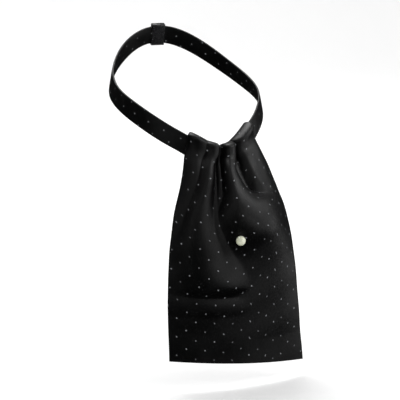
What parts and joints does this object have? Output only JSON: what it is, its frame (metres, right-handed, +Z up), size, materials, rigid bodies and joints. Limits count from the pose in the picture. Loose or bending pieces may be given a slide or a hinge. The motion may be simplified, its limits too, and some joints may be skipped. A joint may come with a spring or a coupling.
{
  "type": "ascot tie",
  "caption": "Black pin-dot ascot tie as worn: gathered wide front blade over a slim neckband with a rear slide, plain under blade behind, and a pearl-headed pin in the front blade.",
  "frame": {"origin": "middle of the loop that goes round the neck, halfway between the neckband's middle line at the nape and where it would run at the throat if the front blade did not draw it down there by about 7.5 mm", "axes": "+Z up along the wearer's neck, -Y forwards through the throat, +X to the wearer's left"},
  "size_m": [0.136, 0.2018, 0.2712],
  "materials": {
    "cloth": "black satin twill with small grey-white pin dots in a staggered lattice",
    "slide_metal": "black lacquered metal",
    "pearl": "cream pearl with a soft lustre",
    "pin_metal": "polished silver-coloured metal"
  },
  "bodies": {
    "root": {"neckband": "cloth", "under_blade": "cloth", "front_blade": "cloth", "band_slide": "slide_metal", "pearl": "pearl", "pearl_pin": "pin_metal"}
  },
  "joints": []
}
